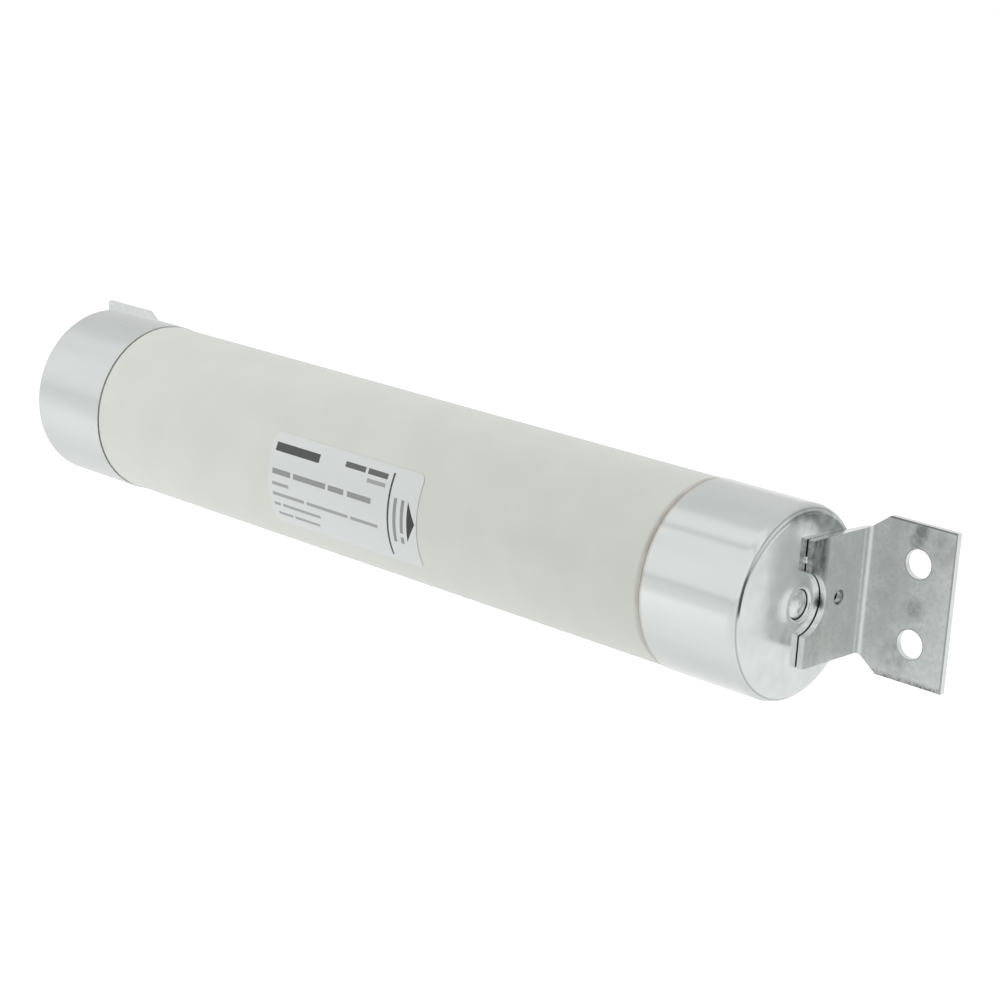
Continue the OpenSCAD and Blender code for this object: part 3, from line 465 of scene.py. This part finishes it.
# A thin bright bead of solder that fills the joint between the cap and the foot's top edge
BEAD_R = 0.19 * MM
BEAD_Z = 25.0 * MM
BEAD_ENDS = (-36.5 * MM, -8.0 * MM)
BEAD_OUT = 0.2 * MM
BEAD_DEPTH = 1.0 * MM
bpy.ops.object.select_all(action="DESELECT")
bpy.ops.mesh.primitive_cylinder_add(vertices=24, radius=BEAD_R, depth=BEAD_ENDS[1] - BEAD_ENDS[0],
                                    location=(FACE_X + BEAD_OUT, sum(BEAD_ENDS) / 2, BEAD_Z),
                                    rotation=(math.radians(90), 0, 0))
bead = bpy.context.object
bead.name = "solder_bead"
bpy.ops.object.transform_apply(location=True, rotation=True, scale=True)
bpy.ops.object.mode_set(mode="EDIT")
bpy.ops.mesh.select_all(action="DESELECT")
bpy.ops.object.mode_set(mode="OBJECT")
for vertex in bead.data.vertices:
    vertex.select = vertex.co.z < BEAD_Z - 0.1 * BEAD_R
bpy.ops.object.mode_set(mode="EDIT")
bpy.ops.transform.translate(value=(0, 0, -BEAD_DEPTH))
bpy.ops.mesh.select_all(action="SELECT")
bpy.ops.mesh.bisect(plane_co=(0, BEAD_ENDS[0] + 0.3 * MM, BEAD_Z), plane_no=(0, -1, 1), use_fill=True,
                    clear_outer=True)
bpy.ops.object.mode_set(mode="OBJECT")
bpy.ops.object.shade_smooth_by_angle(angle=math.radians(50))
bead.data.materials.append(drop.data.materials[0])
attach(bead, "fuse_body")

# Camera at the photograph's angle
CAMERA_PLACE = (0.755354, -0.815485, 0.284437)
LENS_MM, SENSOR_MM = 94.715, 36
VIEW_RIGHT = Vector((0.72796827, 0.68250748, 0.06515937))
VIEW_UP = Vector((-0.22279049, 0.14560314, 0.9639316))
VIEW_FORWARD = Vector((-0.64840311, 0.71622851, -0.25805064))
camera_data = bpy.data.cameras.new("camera")
camera_data.lens = LENS_MM
camera_data.sensor_width = SENSOR_MM
camera = bpy.data.objects.new("camera", camera_data)
bpy.context.scene.collection.objects.link(camera)
camera.matrix_world = Matrix.Translation(CAMERA_PLACE) @ Matrix(
    (VIEW_RIGHT, VIEW_UP, -VIEW_FORWARD)).transposed().to_4x4()
bpy.context.scene.camera = camera

# White floor below the fuse, which its mounts hold up
FLOOR_DROP = 0.11
FLOOR_SIZE = 8
bpy.ops.object.select_all(action="DESELECT")
bpy.ops.mesh.primitive_plane_add(size=FLOOR_SIZE, location=(0, 0, cad_box[0][2] - FLOOR_DROP))
floor = bpy.context.object
floor.name = "floor"
floor_material, tree, place = start_material("white_paper_floor")
paths = add(tree, "LightPath")

# Heading and half width of the tent's dark way in, seen from the fuse's striker end. The floor is bare there,
# from the first distance on and fully from the second
WAY_IN = math.radians(-11)
WAY_IN_HALF = math.radians(13)
WAY_IN_FROM = (0.2, AXIS_Y, 0)
BARE_FROM, BARE_FULLY = 0.52, 0.7
ahead = add(tree, "VectorMath", [place["Object"], WAY_IN_FROM], operation="SUBTRACT")[0]
unit_ahead = add(tree, "VectorMath", [ahead], operation="NORMALIZE")[0]
turn = add(tree, "VectorMath", [unit_ahead, (math.cos(WAY_IN), math.sin(WAY_IN), 0)],
           operation="DOT_PRODUCT")["Value"]
length = add(tree, "VectorMath", [ahead], operation="LENGTH")["Value"]
in_turn = add(tree, "MapRange", [turn, math.cos(WAY_IN_HALF * 1.2), math.cos(WAY_IN_HALF * 0.8), 0, 1])[0]
far_off = add(tree, "MapRange", [length, BARE_FROM, BARE_FULLY, 0, 1], interpolation_type="SMOOTHSTEP")[0]
bare = add(tree, "Math", [in_turn, far_off], operation="MULTIPLY")[0]
bare = add(tree, "Math", [bare, paths["Is Glossy Ray"]], operation="MULTIPLY")[0]
colour = add(tree, "Mix", {0: bare, 6: linear("#F2F2F2"), 7: linear("#5A5A5A")}, data_type="RGBA")[2]
paper = add(tree, "BsdfDiffuse", {"Color": colour})

# The floor glows for the camera, for metal but not where it is bare, and for the light that it sends up
CAMERA_GLOW, FLOOR_GLOW = 0.5, 0.19
to_camera = add(tree, "Math", [paths["Is Camera Ray"], CAMERA_GLOW], operation="MULTIPLY")[0]
covered = add(tree, "Math", [bare, -FLOOR_GLOW, FLOOR_GLOW], operation="MULTIPLY_ADD")[0]
extra = add(tree, "Math", [paths["Is Glossy Ray"], covered, to_camera], operation="MULTIPLY_ADD")[0]
extra = add(tree, "Math", [paths["Is Diffuse Ray"], FLOOR_GLOW, extra], operation="MULTIPLY_ADD")[0]
glow = add(tree, "Emission", {"Color": (1, 1, 1, 1), "Strength": extra})
both = add(tree, "AddShader", [paper["BSDF"], glow["Emission"]])
add(tree, "OutputMaterial", [both[0]])
floor.data.materials.append(floor_material)

# White backdrop for the camera, and a white tent round the fuse for its light and its reflections
world = bpy.data.worlds.new("studio")
bpy.context.scene.world = world
world.use_nodes = True
tree = world.node_tree
tree.nodes.clear()
paths = add(tree, "LightPath")
toward = add(tree, "TexCoord")["Generated"]
part_of = add(tree, "SeparateXYZ", [toward])

# The tent has a dark way in off the striker end, low down
heading = add(tree, "Math", [part_of["Y"], part_of["X"]], operation="ARCTAN2")[0]
off_way_in = add(tree, "Math", [heading, WAY_IN], operation="SUBTRACT")[0]
off_way_in = add(tree, "Math", [off_way_in], operation="ABSOLUTE")[0]
in_width = add(tree, "MapRange", [off_way_in, WAY_IN_HALF * 1.2, WAY_IN_HALF * 0.8, 0, 1])[0]
low_down = add(tree, "MapRange", [part_of["Z"], 0.36, 0.14, 0, 1], interpolation_type="SMOOTHSTEP")[0]
opening = add(tree, "Math", [in_width, low_down], operation="MULTIPLY")[0]
mirrored = add(tree, "Math", [opening, -0.88, 1.0], operation="MULTIPLY_ADD")[0]

# A grey joint runs low down from the way in to the gap behind
joint = add(tree, "MapRange", [heading, math.radians(0), math.radians(8), 0, 1],
            interpolation_type="SMOOTHSTEP")[0]
for value, start, gone in ((heading, math.radians(58), math.radians(70)), (part_of["Z"], 0.16, 0.26)):
    limit = add(tree, "MapRange", [value, start, gone, 1, 0], interpolation_type="SMOOTHSTEP")[0]
    joint = add(tree, "Math", [joint, limit], operation="MULTIPLY")[0]
joint = add(tree, "Math", [joint, -0.3, 1.0], operation="MULTIPLY_ADD")[0]
mirrored = add(tree, "Math", [mirrored, joint], operation="MULTIPLY")[0]

# Seams along the tent, in degrees up from its front: where each starts, is full, starts to fade and is gone,
# and its depth
TENT_SEAMS = [(60, 63, 65, 69, 0.26), (-3, 0, 2, 6, 0.26), (82, 93, 165, 180, 0.22)]
back = add(tree, "Math", [part_of["Y"], -1], operation="MULTIPLY")[0]
round_angle = add(tree, "Math", [part_of["Z"], back], operation="ARCTAN2")[0]
for start, full, fading, gone, depth in TENT_SEAMS:
    rise = add(tree, "MapRange", [round_angle, math.radians(start), math.radians(full), 0, 1],
               interpolation_type="SMOOTHSTEP")[0]
    fall = add(tree, "MapRange", [round_angle, math.radians(fading), math.radians(gone), 1, 0],
               interpolation_type="SMOOTHSTEP")[0]
    seam = add(tree, "Math", [rise, fall], operation="MULTIPLY")[0]
    seam = add(tree, "Math", [seam, -depth, 1.0], operation="MULTIPLY_ADD")[0]
    mirrored = add(tree, "Math", [mirrored, seam], operation="MULTIPLY")[0]

# Round patches of the tent: the middle, the outer and inner end of its soft edge in degrees from that, and
# the depth. One is a dark gap behind, which metal shows, and one a shade in front that keeps light off
near = []
for middle, outer, inner, depth in (((0.66, 0.74, 0.06), 17, 6, 0.4), (-VIEW_FORWARD, 62, 20, 0.95)):
    cosine = add(tree, "VectorMath", [toward, Vector(middle).normalized()], operation="DOT_PRODUCT")["Value"]
    start, full = math.cos(math.radians(outer)), math.cos(math.radians(inner))
    patch = add(tree, "MapRange", [cosine, start, full, 0, 1], interpolation_type="SMOOTHSTEP")[0]
    near.append(add(tree, "Math", [patch, -depth, 1.0], operation="MULTIPLY_ADD")[0])
gap, shade = near
mirrored = add(tree, "Math", [mirrored, gap], operation="MULTIPLY")[0]
lit = add(tree, "Math", [shade, 0.88], operation="MULTIPLY")[0]
reflected = add(tree, "Math", [paths["Is Glossy Ray"], paths["Is Transmission Ray"]], operation="MAXIMUM")[0]
strength = add(tree, "Mix", {0: reflected, 2: lit, 3: mirrored}, data_type="FLOAT")[0]
strength = add(tree, "Math", [strength, paths["Is Camera Ray"]], operation="MAXIMUM")[0]
sky = add(tree, "Background", {"Color": (1, 1, 1, 1), "Strength": strength})
add(tree, "OutputWorld", [sky["Background"]])


# A soft box that faces a point, behind the tent, so that metal shows the tent and not the lamp
def soft_box(name, stand, target, size, power):
    lamp = bpy.data.lights.new(name, "AREA")
    lamp.shape = "RECTANGLE"
    lamp.size, lamp.size_y = size
    lamp.energy = power
    box = bpy.data.objects.new(name, lamp)
    bpy.context.scene.collection.objects.link(box)
    box.location = stand
    box.rotation_euler = (Vector(target) - Vector(stand)).to_track_quat("-Z", "Y").to_euler()
    box.visible_glossy = False


soft_box("top_light", (-0.1, -0.1, 1.3), (0, -0.04, 0), (1.6, 1.0), 3.4)
soft_box("left_light", (-0.35, -0.5, 0.2), (-0.1, -0.04, 0), (0.35, 0.3), 0.7)

bpy.context.scene.view_settings.view_transform = "Standard"
